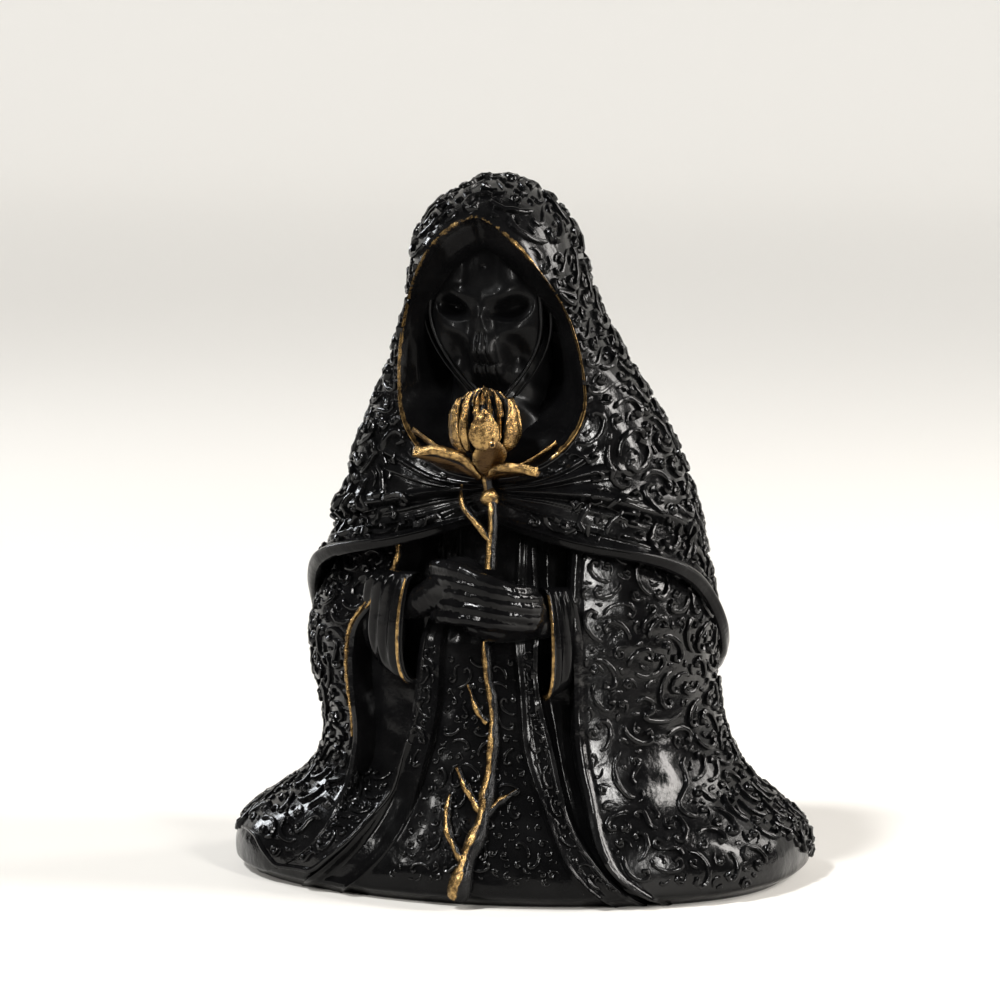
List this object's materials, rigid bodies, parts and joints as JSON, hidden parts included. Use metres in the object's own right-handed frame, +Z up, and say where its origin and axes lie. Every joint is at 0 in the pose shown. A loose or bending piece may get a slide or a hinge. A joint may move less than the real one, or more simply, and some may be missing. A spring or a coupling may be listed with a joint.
{
  "type": "hooded figurine with rose bud",
  "caption": "Black resin figurine of a hooded, robed figure with a skull face, hands clasped on the stem of a gilt rose bud.",
  "frame": {"origin": "middle of the underside that it stands on", "axes": "+Z up, the figure faces -Y and its left hand is toward +X"},
  "size_m": [0.118, 0.0856, 0.1407],
  "materials": {
    "black_resin": "glossy black lacquer over cast resin, with antique gold paint brushed on the raised edges and the flower"
  },
  "bodies": {
    "root": {"figurine": "black_resin"}
  },
  "joints": []
}
